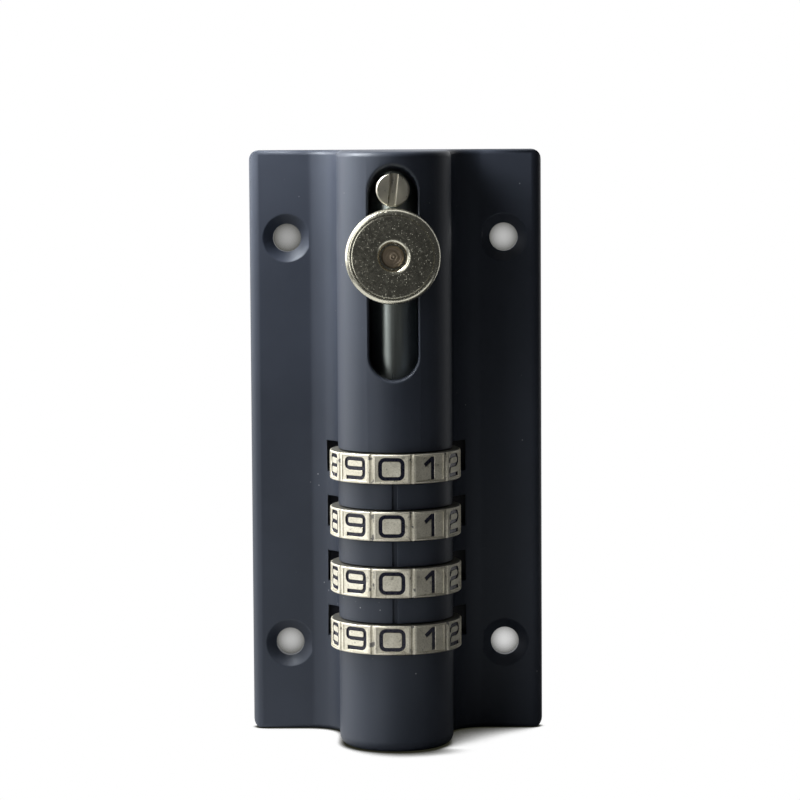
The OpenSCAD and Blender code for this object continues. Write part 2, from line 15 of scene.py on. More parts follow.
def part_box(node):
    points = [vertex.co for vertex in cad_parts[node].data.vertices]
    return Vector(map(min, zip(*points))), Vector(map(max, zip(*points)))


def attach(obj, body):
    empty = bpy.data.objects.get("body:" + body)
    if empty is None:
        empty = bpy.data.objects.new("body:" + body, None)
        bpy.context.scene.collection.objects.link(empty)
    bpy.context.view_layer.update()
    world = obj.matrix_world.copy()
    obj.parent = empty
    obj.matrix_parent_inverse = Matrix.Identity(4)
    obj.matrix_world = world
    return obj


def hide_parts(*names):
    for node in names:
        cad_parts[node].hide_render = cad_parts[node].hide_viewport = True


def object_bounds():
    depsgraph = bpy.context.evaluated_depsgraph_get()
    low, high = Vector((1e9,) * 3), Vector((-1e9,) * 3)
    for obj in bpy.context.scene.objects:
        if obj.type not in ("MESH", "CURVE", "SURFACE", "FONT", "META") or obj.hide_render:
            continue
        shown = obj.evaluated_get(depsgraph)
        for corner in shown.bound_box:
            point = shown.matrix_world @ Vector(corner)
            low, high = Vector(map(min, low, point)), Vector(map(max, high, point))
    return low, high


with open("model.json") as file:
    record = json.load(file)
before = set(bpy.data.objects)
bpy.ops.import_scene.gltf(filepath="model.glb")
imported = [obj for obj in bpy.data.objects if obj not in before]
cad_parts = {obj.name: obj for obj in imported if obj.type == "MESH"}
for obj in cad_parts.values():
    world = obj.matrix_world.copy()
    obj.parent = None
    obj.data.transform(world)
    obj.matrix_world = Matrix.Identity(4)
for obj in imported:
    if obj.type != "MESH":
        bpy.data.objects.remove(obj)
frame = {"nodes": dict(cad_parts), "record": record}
cad_low, cad_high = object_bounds()
MM = 0.001
NODES = frame["nodes"]
BODY_OF = {node: body for body, nodes in frame["record"]["behaviour"]["bodies"].items() for node in nodes}
SLOT_OF = {part["node"]: part["material_slot"] for part in frame["record"]["subparts"]}
print("nodes", len(NODES), "box in mm", [round(v / MM, 2) for v in (*cad_low, *cad_high)])

# %% [markdown]
# The camera stands a little right of the middle and just above the top of the case, with a long
# lens: the photograph shows the barrel's foot from ten degrees above and its head almost level.
# Its place comes from fitting the plate's corners, the barrel's edges and the dials.

# %% Camera
CAMERA_AT = Vector((10.0, -689.5, 68.5)) * MM
CAMERA_TURN = 0.0134
CAMERA_DIP = 0.0873
CAMERA_ROLL = -0.006
PHOTO_SIDE_PX = 800
FOCAL_PX = 3337
SENSOR_MM = 36


def look_axes(turn, dip, roll):
    """The right, up and back directions of a camera that looks along +Y, then turns, dips and rolls."""
    ahead = Vector((-math.sin(turn) * math.cos(dip), math.cos(turn) * math.cos(dip), -math.sin(dip)))
    right = Vector((math.cos(turn), math.sin(turn), 0))
    up = right.cross(ahead)
    rolled = right * math.cos(roll) + up * math.sin(roll)
    return rolled, ahead.cross(rolled) * -1, -ahead


camera_data = bpy.data.cameras.new("camera")
camera_data.sensor_width = SENSOR_MM
camera_data.lens = FOCAL_PX / PHOTO_SIDE_PX * SENSOR_MM
camera_data.clip_start = 0.05
camera_data.clip_end = 20
camera = bpy.data.objects.new("camera", camera_data)
right, up, back = look_axes(CAMERA_TURN, CAMERA_DIP, CAMERA_ROLL)
camera.matrix_world = Matrix.Translation(CAMERA_AT) @ Matrix((right, up, back)).transposed().to_4x4()
bpy.context.scene.collection.objects.link(camera)
bpy.context.scene.camera = camera
print("lens", round(camera_data.lens, 2), "mm, distance", round(CAMERA_AT.length, 3), "m")

# %% [markdown]
# Finishes are node materials. A small kit of helpers keeps each one short: it adds a node, links
# sockets, and reads the piece's own Object coordinates, so a pattern stays where it is on the
# piece when the piece moves.

# %% Node helpers


def add(tree, kind, **values):
    """A node of that kind, with sockets given by name and settings given with a leading set_."""
    node = tree.nodes.new("ShaderNode" + kind)
    for name, value in values.items():
        if name.startswith("set_"):
            setattr(node, name[4:], value)
        else:
            socket = node.inputs[name.replace("_", " ")]
            if isinstance(value, bpy.types.NodeSocket):
                tree.links.new(value, socket)
            else:
                socket.default_value = value
    return node


def math_node(tree, operation, a, b=0.0, clamp=False):
    """The result of a Math node on two numbers or sockets."""
    node = tree.nodes.new("ShaderNodeMath")
    node.operation = operation
    node.use_clamp = clamp
    for socket, value in zip(node.inputs, (a, b)):
        if isinstance(value, bpy.types.NodeSocket):
            tree.links.new(value, socket)
        else:
            socket.default_value = value
    return node.outputs[0]


def ramp(tree, value, *stops):
    """A Map Range from the first pair's number to the last pair's, as (input, output) stops."""
    (in_low, out_low), (in_high, out_high) = stops
    node = tree.nodes.new("ShaderNodeMapRange")
    tree.links.new(value, node.inputs["Value"])
    for name, number in zip(("From Min", "From Max", "To Min", "To Max"), (in_low, in_high, out_low, out_high)):
        node.inputs[name].default_value = number
    return node.outputs["Result"]


def mix_colour(tree, share, a, b):
    """Colour a where share is 0, b where it is 1. Each may be a colour or a socket."""
    node = tree.nodes.new("ShaderNodeMix")
    node.data_type = "RGBA"
    for socket, value in zip((node.inputs[0], node.inputs[6], node.inputs[7]), (share, a, b)):
        if isinstance(value, bpy.types.NodeSocket):
            tree.links.new(value, socket)
        else:
            socket.default_value = value
    return node.outputs[2]


def bump(tree, height, strength, distance):
    """The normal from a height socket: strength from 0 to 1, distance in metres."""
    node = tree.nodes.new("ShaderNodeBump")
    node.inputs["Strength"].default_value = strength
    node.inputs["Distance"].default_value = distance
    tree.links.new(height, node.inputs["Height"])
    return node


def material(name):
    """An empty node material: the material, its tree, its shader and the piece's coordinates."""
    made = bpy.data.materials.new(name)
    made.use_nodes = True
    tree = made.node_tree
    shader = tree.nodes["Principled BSDF"]
    where = tree.nodes.new("ShaderNodeTexCoord").outputs["Object"]
    return made, tree, shader, where


print("node helpers ready")

# %% [markdown]
# The case is a zinc casting with a thin satin coat, so dark that most of what the eye sees is the
# coat's own broad sheen. The coat has a faint ripple, patches that are a little glossier, and the
# fine pale dust that the photograph shows all over it.

# %% Case coat


def case_coat():
    made, tree, shader, where = material("case_coat")
    ripple = add(tree, "TexNoise", Vector=where, Scale=900.0, Detail=3.0, Roughness=0.6)
    patches = add(tree, "TexNoise", Vector=where, Scale=60.0, Detail=4.0, Roughness=0.55)
    dust = add(tree, "TexVoronoi", Vector=where, Scale=420.0)
    speck = ramp(tree, dust.outputs["Distance"], (0.035, 1.0), (0.075, 0.0))
    sparse = add(tree, "TexNoise", Vector=where, Scale=130.0, Detail=2.0)
    speck = math_node(tree, "MULTIPLY", speck, ramp(tree, sparse.outputs["Fac"], (0.54, 0.0), (0.62, 1.0)))
    coat = mix_colour(tree, ramp(tree, patches.outputs["Fac"], (0.35, 0.0), (0.65, 1.0)),
                      (0.026, 0.032, 0.047, 1), (0.031, 0.038, 0.056, 1))
    coloured = mix_colour(tree, math_node(tree, "MULTIPLY", speck, 0.8), coat, (0.34, 0.35, 0.37, 1))
    tree.links.new(coloured, shader.inputs["Base Color"])
    tree.links.new(ramp(tree, patches.outputs["Fac"], (0.3, 0.46), (0.7, 0.54)), shader.inputs["Roughness"])
    tree.links.new(bump(tree, ripple.outputs["Fac"], 0.25, 0.00004).outputs[0], shader.inputs["Normal"])
    shader.inputs["Specular Tint"].default_value = (0.88, 0.94, 1.0, 1)
    shader.inputs["IOR"].default_value = 1.5
    return made


# %% [markdown]
# The bright parts are all metal, and differ in colour, in how rough they are and in the marks
# that making and use left: long fine lines on the plated bar, small pits in the knob's face,
# paint left in the grooves of the dials. The springs are blued, and the dials' top and bottom
# faces carry painted shade, so the windows look black inside.

# %% Metals
DIAL_AXIS_Y = -20.0 * MM
DIAL_TURN = math.radians(-2.6)
CELL_STEP = math.radians(36)
DIAL_PITCH = 11.4 * MM
LOWEST_DIAL_Z = -37.0 * MM
DIAL_HALF_T = 2.925 * MM
PAINT_DEPTH = 12.52 * MM
NUMBER_HALF_H = 2.45 * MM
PIT_SCALE = 3400.0
PIT_DEPTH = 0.032 * MM


def pits(tree, where, scale, share):
    """The height of a surface with small sparse pits, which sparkle when a light comes from the side."""
    cells = add(tree, "TexVoronoi", Vector=where, Scale=scale)
    chosen = add(tree, "SeparateColor", Color=cells.outputs["Color"]).outputs["Red"]
    chosen = math_node(tree, "LESS_THAN", chosen, share)
    hollow = ramp(tree, cells.outputs["Distance"], (0.0, 1.0), (0.3, 0.0))
    return math_node(tree, "SUBTRACT", 1.0, math_node(tree, "MULTIPLY", hollow, chosen))


def metal(name, colour, roughness, grain_scale, grain, stretch=(1, 1, 1), pitted=0.0):
    """A metal with a fine grain that varies its roughness and bump. Stretch draws the grain out."""
    made, tree, shader, where = material(name)
    placed = add(tree, "Mapping", Vector=where, Scale=stretch)
    fine = add(tree, "TexNoise", Vector=placed.outputs[0], Scale=grain_scale, Detail=5.0, Roughness=0.65)
    broad = add(tree, "TexNoise", Vector=where, Scale=grain_scale / 9, Detail=3.0)
    tone = ramp(tree, broad.outputs["Fac"], (0.3, 0.82), (0.7, 1.08))
    shade = mix_colour(tree, tone, (0, 0, 0, 1), (*colour, 1))
    shader.inputs["Metallic"].default_value = 1.0
    tree.links.new(shade, shader.inputs["Base Color"])
    tree.links.new(ramp(tree, fine.outputs["Fac"], (0.3, roughness * 0.75), (0.7, roughness * 1.3)),
                   shader.inputs["Roughness"])
    relief = bump(tree, fine.outputs["Fac"], grain, 0.00003)
    if pitted:
        spots = bump(tree, pits(tree, where, PIT_SCALE, pitted), 1.0, PIT_DEPTH)
        tree.links.new(relief.outputs[0], spots.inputs["Normal"])
        relief = spots
    tree.links.new(relief.outputs[0], shader.inputs["Normal"])
    return made


def painted_dial():
    """Satin nickel with dark paint in the engraved numbers, found from how deep the surface lies."""
    made, tree, shader, where = material("dial_nickel")
    parts = add(tree, "SeparateXYZ", Vector=where)
    deep = math_node(tree, "SUBTRACT", DIAL_AXIS_Y, parts.outputs["Y"])
    turn = math_node(tree, "ARCTAN2", parts.outputs["X"], deep)
    turn = math_node(tree, "SUBTRACT", turn, DIAL_TURN)
    cell = math_node(tree, "ROUND", math_node(tree, "DIVIDE", turn, CELL_STEP))
    off_middle = math_node(tree, "SUBTRACT", turn, math_node(tree, "MULTIPLY", cell, CELL_STEP))
    x_squared = math_node(tree, "MULTIPLY", parts.outputs["X"], parts.outputs["X"])
    y_squared = math_node(tree, "MULTIPLY", deep, deep)
    radius = math_node(tree, "SQRT", math_node(tree, "ADD", x_squared, y_squared))
    depth = math_node(tree, "MULTIPLY", radius, math_node(tree, "COSINE", off_middle))
    up = math_node(tree, "SUBTRACT", parts.outputs["Z"], LOWEST_DIAL_Z)
    up = math_node(tree, "PINGPONG", math_node(tree, "ADD", up, DIAL_PITCH), DIAL_PITCH / 2)
    wobble = add(tree, "TexNoise", Vector=where, Scale=2500.0, Detail=3.0)
    rough_edge = ramp(tree, wobble.outputs["Fac"], (0.3, -0.03 * MM), (0.7, 0.05 * MM))
    level = math_node(tree, "ADD", depth, rough_edge)
    below_face = ramp(tree, level, (PAINT_DEPTH, 1.0), (PAINT_DEPTH + 0.05 * MM, 0.0))
    in_cell = math_node(tree, "LESS_THAN", math_node(tree, "ABSOLUTE", off_middle), math.radians(13))
    between = math_node(tree, "LESS_THAN", up, NUMBER_HALF_H)
    outer = math_node(tree, "GREATER_THAN", radius, 11.8 * MM)
    paint = math_node(tree, "MULTIPLY", math_node(tree, "MULTIPLY", below_face, in_cell),
                      math_node(tree, "MULTIPLY", between, outer))
    grain = add(tree, "TexNoise", Vector=where, Scale=3200.0, Detail=4.0, Roughness=0.7)
    cloud = add(tree, "TexNoise", Vector=where, Scale=380.0, Detail=3.0)
    stain = add(tree, "TexNoise", Vector=where, Scale=900.0, Detail=4.0, Distortion=0.6)
    nickel = mix_colour(tree, ramp(tree, cloud.outputs["Fac"], (0.35, 0.0), (0.7, 1.0)),
                        (0.84, 0.81, 0.70, 1), (0.69, 0.66, 0.55, 1))
    nickel = mix_colour(tree, ramp(tree, grain.outputs["Fac"], (0.45, 0.0), (0.75, 0.5)), nickel, (0.42, 0.40, 0.33, 1))
    nickel = mix_colour(tree, ramp(tree, stain.outputs["Fac"], (0.62, 0.0), (0.72, 0.6)), nickel, (0.24, 0.22, 0.18, 1))
    # Painted shade: the top and bottom faces of each dial are darkened to stand in for the shade in the gap between
    # dial and window.
    painted_side_shade = ramp(tree, up, (DIAL_HALF_T - 0.04 * MM, 0.0), (DIAL_HALF_T - 0.01 * MM, 0.85))
    nickel = mix_colour(tree, painted_side_shade, nickel, (0.11, 0.11, 0.10, 1))
    residue = ramp(tree, add(tree, "TexNoise", Vector=where, Scale=620.0, Detail=3.0).outputs["Fac"],
                   (0.60, 0.0), (0.64, 1.0))
    groove = math_node(tree, "GREATER_THAN", math_node(tree, "ABSOLUTE", off_middle), math.radians(15.5))
    residue = math_node(tree, "MULTIPLY", math_node(tree, "MULTIPLY", residue, groove), 0.75)
    paint = math_node(tree, "MAXIMUM", paint, residue)
    tree.links.new(mix_colour(tree, paint, nickel, (0.010, 0.011, 0.030, 1)), shader.inputs["Base Color"])
    tree.links.new(math_node(tree, "SUBTRACT", 1.0, paint), shader.inputs["Metallic"])
    satin = ramp(tree, grain.outputs["Fac"], (0.3, 0.52), (0.7, 0.72))
    glossy_paint = math_node(tree, "MULTIPLY", paint, 0.32)
    tree.links.new(math_node(tree, "SUBTRACT", satin, glossy_paint), shader.inputs["Roughness"])
    tree.links.new(bump(tree, grain.outputs["Fac"], 0.35, 0.00004).outputs[0], shader.inputs["Normal"])
    return made


METALS = {
    "plate_steel": ("plate_steel", (0.05, 0.052, 0.056), 0.5, 700, 0.3, (1, 1, 0.05)),
    "screw_steel": ("screw_steel", (0.55, 0.56, 0.57), 0.3, 900, 0.3, (1, 1, 1)),
    "bush_brass": ("bush_brass", (0.66, 0.50, 0.24), 0.3, 900, 0.3, (1, 1, 0.1)),
    "spring_steel": ("spring_steel", (0.022, 0.024, 0.032), 0.45, 900, 0.3, (1, 0.1, 1)),
    "ball_steel": ("ball_steel", (0.75, 0.76, 0.77), 0.1, 900, 0.1, (1, 1, 1)),
    "bolt_chrome": ("bolt_chrome", (0.42, 0.46, 0.44), 0.32, 900, 0.4, (1, 1, 0.03)),
    "knob_nickel": ("knob_nickel", (0.70, 0.68, 0.56), 0.24, 1800, 0.6, (1, 1, 1), 0.30),
    "stud_steel": ("stud_steel", (0.38, 0.31, 0.23), 0.42, 1500, 0.4, (1, 1, 1)),
    "change_screw_nickel": ("change_screw_nickel", (0.72, 0.69, 0.58), 0.33, 3000, 1.0, (1, 1, 0.1), 0.08),
    "sleeve_brass": ("sleeve_brass", (0.68, 0.52, 0.26), 0.35, 900, 0.3, (1, 1, 0.1)),
}
FINISHES = {slot: metal(*facts) for slot, facts in METALS.items()}
FINISHES["case_paint"] = case_coat()
FINISHES["dial_nickel"] = painted_dial()
print("finishes", sorted(FINISHES))

# %% Dress the nodes
for name, node in NODES.items():
    node.data.materials.clear()
    node.data.materials.append(FINISHES[SLOT_OF[name]])

# %% [markdown]
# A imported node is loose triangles, right for physics but with knife edges. Where the eye comes
# close, a copy takes the node's place: its triangles are joined, its flat faces made whole, and
# the edges that a casting or a plated part rounds off get a small bevel. Bevelling a joined copy
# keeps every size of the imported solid, which modelling the piece afresh would put at risk.

# %% Piece helpers
MERGE = 0.004 * MM
FLAT = math.radians(0.3)
CREASE = math.radians(32)
SPIN_STEPS = 96


def joined_copy(node):
    """The node's mesh as one closed bmesh with whole flat faces."""
    made = bmesh.new()
    made.from_mesh(NODES[node].data)
    bmesh.ops.remove_doubles(made, verts=made.verts, dist=MERGE)
    bmesh.ops.dissolve_limit(made, angle_limit=FLAT, verts=made.verts, edges=made.edges)
    return made


def edge_round(made, edges, width, segments):
    """Rounds the edges by a bevel of that width."""
    bmesh.ops.bevel(made, geom=edges, offset=width, offset_type="OFFSET", segments=segments,
                    profile=0.5, affect="EDGES", material=-1, clamp_overlap=False)


def spun(profile, z):
    """A closed profile of (radius, y) points in millimetres, spun about a line along Y at height z."""
    made = bmesh.new()
    points = [made.verts.new((radius * MM, y * MM, z)) for radius, y in profile]
    edges = [made.edges.new(pair) for pair in zip(points, points[1:] + points[:1])]
    bmesh.ops.spin(made, geom=points + edges, cent=(0, 0, z), axis=(0, 1, 0), angle=math.tau,
                   steps=SPIN_STEPS, use_merge=True)
    bmesh.ops.remove_doubles(made, verts=made.verts, dist=MERGE)
    bmesh.ops.recalc_face_normals(made, faces=made.faces)
    return made


def stand_in(name, made, node):
    """Makes the bmesh the piece that is shown for that node, on its body and with its finish."""
    mesh = bpy.data.meshes.new(name)
    made.to_mesh(mesh)
    made.free()
    mesh.shade_smooth()
    mesh.set_sharp_from_angle(angle=CREASE)
    mesh.materials.append(FINISHES[SLOT_OF[node]])
    piece = bpy.data.objects.new(name, mesh)
    bpy.context.scene.collection.objects.link(piece)
    even = piece.modifiers.new("even_shading", "WEIGHTED_NORMAL")
    even.keep_sharp = True
    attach(piece, BODY_OF[node])
    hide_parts(node)
    print(name, "has", len(mesh.polygons), "faces")
    return piece


# %% [markdown]
# The case is one casting. Its outside edges are softened where the coat has pooled: widely at the
# mouth of the knob's slot, a little at the dials' windows, the countersinks and the back edge.
# The edges are picked by where they lie: both ends on the outside, and a fold that opens outwards.

# %% Case
AXIS_Y = -20.0
BARREL_R = 11.5
BARREL_HALF_W = 11.45
FLANGE_T = 4.0
FILLET_R = 7.0
FILLET_X = 18.43
FILLET_Y = -10.98
SLOT_HALF_W = 4.95
SLOT_FOOT = 14.5
CASE_HALF_W = 30.0
CASE_HALF_H = 60.0
NEAR = 0.08
CASE_MERGE = 0.05 * MM
MOUTH_ROUND = 0.65 * MM
WINDOW_ROUND = 0.18 * MM
BACK_ROUND = 0.25 * MM


def place_on_case(point):
    """The name of the outside surface that a point of the case lies on, or None."""
    x, y, z = (value / MM for value in point)
    if y < AXIS_Y + NEAR and abs(math.hypot(x, y - AXIS_Y) - BARREL_R) < NEAR:
        return "mouth" if abs(x) < SLOT_HALF_W and z > SLOT_FOOT else "front"
    if abs(abs(x) - BARREL_HALF_W) < NEAR and AXIS_Y - NEAR < y < FILLET_Y + NEAR:
        return "front"
    if abs(math.hypot(abs(x) - FILLET_X, y - FILLET_Y) - FILLET_R) < NEAR and y > FILLET_Y - NEAR:
        return "front"
    if abs(y + FLANGE_T) < NEAR / 2:
        return "front"
    if abs(y) < NEAR / 2 and (abs(abs(x) - CASE_HALF_W) < 2.1 or abs(abs(z) - CASE_HALF_H) < 2.1):
        return "back"
    return None


def outside_edges(made, place):
    """Edges with both ends on that outside surface, whose faces fold outwards."""
    found = []
    for edge in made.edges:
        places = {place_on_case(point.co) for point in edge.verts}
        if place in places and None not in places and edge.calc_face_angle_signed(0) > CREASE:
            found.append(edge)
    return found


made = bmesh.new()
made.from_mesh(NODES["body"].data)
bmesh.ops.remove_doubles(made, verts=made.verts, dist=CASE_MERGE)
bmesh.ops.dissolve_limit(made, angle_limit=FLAT, verts=made.verts, edges=made.edges)
print("mouth", len(outside_edges(made, "mouth")), "front", len(outside_edges(made, "front")),
      "back", len(outside_edges(made, "back")))
edge_round(made, outside_edges(made, "mouth"), MOUTH_ROUND, 4)
edge_round(made, outside_edges(made, "front"), WINDOW_ROUND, 2)
edge_round(made, outside_edges(made, "back"), BACK_ROUND, 2)
print("bad edges", sum(1 for edge in made.edges if len(edge.link_faces) != 2))
case_shell = stand_in("case_shell", made, "body")

# %% [markdown]
# The knob is turned: a closed outline spun about its axis, with the rim rounded by a bevel. Its
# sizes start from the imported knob's box.

# %% Knob
knob_low, knob_high = (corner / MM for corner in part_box("knob"))
KNOB_R = (knob_high.x - knob_low.x) / 2
KNOB_Z = (knob_high.z + knob_low.z) / 2 * MM
KNOB_T = 6.0
KNOB_RIM = 1.1
KNOB_LIP_R = 8.22
KNOB_GROOVE_R = 8.14
KNOB_FACE_R = 7.82
KNOB_GROOVE_T = 0.17
KNOB_BACK_EDGE = 0.6
NECK_R = 4.75
THREAD_R = 2.25
EYE_R = 2.65
EYE_CHAMFER = 1.0
EYE_DEPTH = 1.6
face_y = knob_low.y
made = spun([(THREAD_R, knob_high.y), (NECK_R, knob_high.y), (NECK_R, face_y + KNOB_T),
             (KNOB_R, face_y + KNOB_T), (KNOB_R, face_y), (KNOB_LIP_R, face_y),
             (KNOB_GROOVE_R, face_y + KNOB_GROOVE_T), (KNOB_FACE_R, face_y), (EYE_R, face_y),
             (EYE_R, face_y + EYE_DEPTH), (THREAD_R, face_y + EYE_DEPTH)], KNOB_Z)


def ring(made, radius, y, z):
    """The edges of the circle of that radius, in millimetres, at y about a line at height z."""
    def on(point):
        return (abs(math.hypot(point.co.x, point.co.z - z) / MM - radius) < NEAR / 4
                and abs(point.co.y / MM - y) < NEAR / 4)
    return [edge for edge in made.edges if all(on(point) for point in edge.verts)]


edge_round(made, ring(made, KNOB_R, face_y, KNOB_Z), KNOB_RIM * MM, 10)
edge_round(made, ring(made, KNOB_R, face_y + KNOB_T, KNOB_Z), KNOB_BACK_EDGE * MM, 4)
edge_round(made, ring(made, EYE_R, face_y, KNOB_Z), EYE_CHAMFER * MM, 6)
knob_head = stand_in("knob_head", made, "knob")

# %% [markdown]
# The stud's end shows in the knob's eye, with the rings that the turning tool left and the pip of
# the centre. It is spun in the same way.

# %% Stud
stud_low, stud_high = (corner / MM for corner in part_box("knob_stud"))
STUD_R = (stud_high.x - stud_low.x) / 2
end_y = stud_low.y
STUD_OUTLINE = [(0, stud_high.y), (STUD_R - 0.4, stud_high.y), (STUD_R, stud_high.y - 0.4), (STUD_R, end_y + 0.3),
                (STUD_R - 0.3, end_y), (1.6, end_y), (1.5, end_y + 0.1), (1.15, end_y + 0.1), (1.05, end_y),
                (0.8, end_y), (0.72, end_y + 0.06), (0.55, end_y + 0.06), (0.45, end_y), (0.32, end_y),
                (0, end_y + 0.35)]
made = spun(STUD_OUTLINE, KNOB_Z)
stud_end = stand_in("stud_end", made, "knob_stud")

# %% [markdown]
# The code change screw and the dials have edges that catch the light all round, so every edge
# that folds outwards gets a narrow bevel.

# %% Change screw and dials
OUTWARD = math.radians(35)
CELL_FACE = 12.65 * MM
SCREW_ROUND = 0.08
NUMBER_ROUND = 0.14 * MM
DIAL_ROUND = 0.06 * MM


def softened(name, node, width, segments, fold):
    """A joined copy of the node with its outward edges rounded."""
    made = joined_copy(node)
    edges = [edge for edge in made.edges if edge.calc_face_angle_signed(0) > fold]
    edge_round(made, edges, width * MM, segments)
    print("bad edges", sum(1 for edge in made.edges if len(edge.link_faces) != 2))
    return stand_in(name, made, node)


def number_edges(made):
    """The edges where a number is cut into the face of a dial's cell."""
    def on_face(point):
        turn = math.atan2(point.co.x, DIAL_AXIS_Y - point.co.y) - DIAL_TURN
        off_middle = turn - round(turn / CELL_STEP) * CELL_STEP
        radius = math.hypot(point.co.x, DIAL_AXIS_Y - point.co.y)
        return abs(radius * math.cos(off_middle) - CELL_FACE) < 0.02 * MM
    return [edge for edge in made.edges
            if all(on_face(point) for point in edge.verts) and edge.calc_face_angle_signed(0) > OUTWARD]


softened("change_screw_head", "change_screw", SCREW_ROUND, 2, OUTWARD)
for k in (1, 2, 3, 4):
    made = joined_copy(f"dial_{k}")
    cut = number_edges(made)
    others = [edge for edge in made.edges if edge.calc_face_angle_signed(0) > OUTWARD and edge not in set(cut)]
    print("dial", k, "number edges", len(cut), "other edges", len(others))
    edge_round(made, cut, NUMBER_ROUND, 2)
    others = [edge for edge in others if edge.is_valid]
    edge_round(made, others, DIAL_ROUND, 2)
    print("bad edges", sum(1 for edge in made.edges if len(edge.link_faces) != 2))
    stand_in(f"dial_wheel_{k}", made, f"dial_{k}")

# %% [markdown]
# The studio is a white table with one large soft light on the left, a narrow one nearer the front
# and a small one close to the top left corner. The table is white to the camera and keeps the
# object's shade, which the photograph shows only close to the barrel's foot. A white sheet just
# behind the plate shows through the four holes, dimmed as it is there in the photograph.

# %% Stage and lights
TABLE_Z = cad_low.z
SHEET_GAP = 0.6 * MM


def stage_sheet(name, low, high, turn):
    """A sheet from one corner to the other, turned about the origin, that isn't part of the object."""
    made = bmesh.new()
    bmesh.ops.create_grid(made, x_segments=1, y_segments=1, size=0.5)
    bmesh.ops.scale(made, vec=(high[0] - low[0], high[1] - low[1], 1), verts=made.verts)
    middle = ((high[0] + low[0]) / 2, (high[1] + low[1]) / 2, low[2])
    bmesh.ops.translate(made, vec=middle, verts=made.verts)
    bmesh.ops.transform(made, matrix=turn, verts=made.verts)
    mesh = bpy.data.meshes.new(name)
    made.to_mesh(mesh)
    made.free()
    sheet = bpy.data.objects.new(name, mesh)
    bpy.context.scene.collection.objects.link(sheet)
    return sheet


def mix_shader(tree, share, a, b):
    """The output of shader a where share is 0, of shader b where it is 1."""
    node = tree.nodes.new("ShaderNodeMixShader")
    for socket, value in zip(node.inputs, (share, a, b)):
        tree.links.new(value, socket)
    return node.outputs[0]


def camera_white(tree, share, strength=1.0):
    """A glow that is white where share is 1 and the tone of a deep shadow where it is 0."""
    white = mix_colour(tree, share, (0.02, 0.02, 0.012, 1), (1, 1, 1, 1))
    return add(tree, "Emission", Color=white, Strength=strength).outputs[0]


def table_white():
    """White to the camera, with the object's shade kept. Reflections see a part of it, other rays white paint."""
    made, tree, shader, where = material("table_white")
    shader.inputs["Base Color"].default_value = (0.4, 0.4, 0.39, 1)
    shader.inputs["Roughness"].default_value = 0.7
    path = add(tree, "LightPath")
    hidden = math_node(tree, "SUBTRACT", 1.0, table_mirrored(tree, where))
    hidden = math_node(tree, "MULTIPLY", hidden, path.outputs["Is Glossy Ray"])
    glow = camera_white(tree, table_shade(tree, where), math_node(tree, "SUBTRACT", 1.0, hidden))
    seen = math_node(tree, "MAXIMUM", path.outputs["Is Camera Ray"], path.outputs["Is Glossy Ray"])
    shown = mix_shader(tree, seen, shader.outputs[0], glow)
    clear = add(tree, "BsdfTransparent").outputs[0]
    sided = mix_shader(tree, add(tree, "NewGeometry").outputs["Backfacing"], shown, clear)
    tree.links.new(sided, tree.nodes["Material Output"].inputs["Surface"])
    return made


def sheet_white():
    """White to the camera from the front, and clear to everything else."""
    made, tree, shader, where = material("sheet_white")
    path = add(tree, "LightPath")
    front = math_node(tree, "SUBTRACT", 1.0, add(tree, "NewGeometry").outputs["Backfacing"])
    seen = math_node(tree, "MULTIPLY", path.outputs["Is Camera Ray"], front)
    clear = add(tree, "BsdfTransparent").outputs[0]
    shown = mix_shader(tree, seen, clear, camera_white(tree, sheet_shade(tree, where)))
    tree.links.new(shown, tree.nodes["Material Output"].inputs["Surface"])
    tree.nodes.remove(shader)
    return made


def table_shade(tree, where):
    """A shadow that lies close to the barrel's foot, in front of it and on the side away from the light."""
    parts = add(tree, "SeparateXYZ", Vector=where)
    reach = math_node(tree, "MINIMUM", ramp(tree, parts.outputs["X"], (-0.012, 0.003), (0.006, 0.0205)),
                      ramp(tree, parts.outputs["Y"], (-0.034, 0.0095), (-0.024, 0.0205)))
    inwards = ramp(tree, parts.outputs["Y"], (-0.034, 1.4), (-0.026, 0.0))
    sideways = math_node(tree, "MULTIPLY", inwards, -0.6)
    lean = add(tree, "CombineXYZ", X=sideways, Y=inwards, Z=1.0).outputs[0]
    lean = add(tree, "VectorMath", set_operation="NORMALIZE", Vector=lean).outputs["Vector"]
    shelter = add(tree, "AmbientOcclusion", set_samples=24, Distance=reach, Normal=lean)
    return math_node(tree, "POWER", ramp(tree, shelter.outputs["AO"], (0.2, 0.0), (0.66, 1.0)), 3.0)


def table_mirrored(tree, where):
    """White on the lit left side and well in front; dim where the barrel keeps the light off."""
    parts = add(tree, "SeparateXYZ", Vector=where)
    left = ramp(tree, parts.outputs["X"], (-0.014, 1.0), (-0.002, 0.04))
    front = ramp(tree, parts.outputs["Y"], (-0.085, 1.0), (-0.065, 0.04))
    return math_node(tree, "MAXIMUM", left, front)


def sheet_shade(tree, where):
    """Dim light behind the plate, which grows to the right and downwards."""
    parts = add(tree, "SeparateXYZ", Vector=where)
    shelter = add(tree, "AmbientOcclusion", set_samples=24, Distance=0.012)
    open_share = shelter.outputs["AO"]
    right = ramp(tree, parts.outputs["X"], (-0.022, 1.0), (0.022, 1.4))
    low = ramp(tree, parts.outputs["Z"], (0.042, 1.0), (-0.042, 1.4))
    dim = ramp(tree, open_share, (0.2, 0.0), (1.0, 0.78))
    return math_node(tree, "MULTIPLY", dim, math_node(tree, "MULTIPLY", right, low))


FLAT_DOWN = Matrix.Identity(4)
UPRIGHT = Matrix.Rotation(math.pi / 2, 4, "X")
table = stage_sheet("table", (-0.15, -0.15, TABLE_Z), (0.15, 0.15, TABLE_Z), FLAT_DOWN)
table.data.materials.append(table_white())
sheet = stage_sheet("white_sheet", (-0.029, -0.058, -SHEET_GAP), (0.029, 0.058, -SHEET_GAP), UPRIGHT)
sheet.data.materials.append(sheet_white())


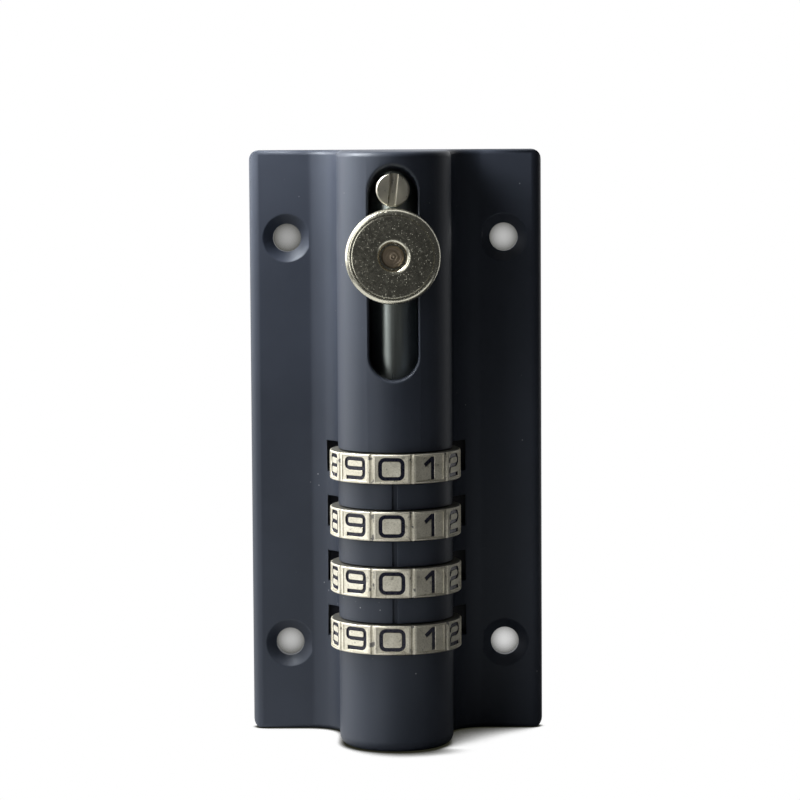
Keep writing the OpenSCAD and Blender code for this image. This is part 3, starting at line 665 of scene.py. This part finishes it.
def soft_light(name, azimuth, height, distance, size, radiance, target=(0, 0, 0)):
    """A soft light aimed at a target. Azimuth is from the front to the left, in degrees."""
    turn = math.radians(azimuth)
    rise = math.radians(height)
    at = Vector((-math.sin(turn) * math.cos(rise), -math.cos(turn) * math.cos(rise), math.sin(rise)))
    data = bpy.data.lights.new(name, "AREA")
    data.shape = "RECTANGLE"
    data.size, data.size_y = size
    data.energy = radiance * math.pi * size[0] * size[1]
    light = bpy.data.objects.new(name, data)
    light.location = Vector(target) + at * distance
    light.rotation_euler = at.to_track_quat("Z", "Y").to_euler()
    light.visible_camera = False
    bpy.context.scene.collection.objects.link(light)
    return light


soft_light("left_box", 98, 20, 0.8, (1.0, 0.75), 2.4)
soft_light("box_edge", 34, 15, 0.8, (0.20, 0.8), 2.45)
soft_light("corner_box", 75, 40, 0.10, (0.06, 0.06), 25.0, (0, -0.01, 0.055))

# %% [markdown]
# Around the object the room is dark on the camera's side and on the right, and pale on the left,
# overhead and behind. Metal shows this more than anything else: it gives the knob its dark face
# and bright rim. A darker spot stands where the camera is. The camera itself sees plain white.

# %% World
ROOM_LEFT = 0.10
ROOM_RIGHT = 0.05
CAMERA_SIDE = 0.4
world = bpy.data.worlds.new("studio")
world.use_nodes = True
tree = world.node_tree
background = tree.nodes["Background"]
path = tree.nodes.new("ShaderNodeLightPath")
facing = tree.nodes.new("ShaderNodeTexCoord").outputs["Generated"]


def towards(direction, start, end, strength):
    """A glow round a direction: none at the cosine start, full strength at the cosine end."""
    dot = add(tree, "VectorMath", set_operation="DOT_PRODUCT")
    tree.links.new(facing, dot.inputs[0])
    dot.inputs[1].default_value = Vector(direction).normalized()
    return ramp(tree, dot.outputs["Value"], (start, 0.0), (end, strength))


pale = math_node(tree, "MAXIMUM", towards((0, 1, 0), 0.45, 0.75, 1.0), towards((-0.8, 0.5, 0.3), 0.3, 0.95, 0.8))
pale = math_node(tree, "MAXIMUM", pale, towards((0, 0.35, 0.94), 0.85, 0.97, 1.2))
parts = add(tree, "SeparateXYZ", Vector=facing)
room = ramp(tree, parts.outputs["X"], (-0.3, ROOM_LEFT), (0.4, ROOM_RIGHT))
spot = math_node(tree, "SUBTRACT", 1.0, towards((0, -1, 0), math.cos(math.radians(22)), math.cos(math.radians(12)),
                                                1 - CAMERA_SIDE))
others = math_node(tree, "MAXIMUM", pale, math_node(tree, "MULTIPLY", room, spot))
seen = math_node(tree, "MAXIMUM", path.outputs["Is Camera Ray"], path.outputs["Is Transmission Ray"])
tree.links.new(math_node(tree, "MAXIMUM", seen, others), background.inputs["Strength"])
background.inputs["Color"].default_value = (1, 1, 1, 1)
bpy.context.scene.world = world
bpy.context.scene.view_settings.view_transform = "Standard"
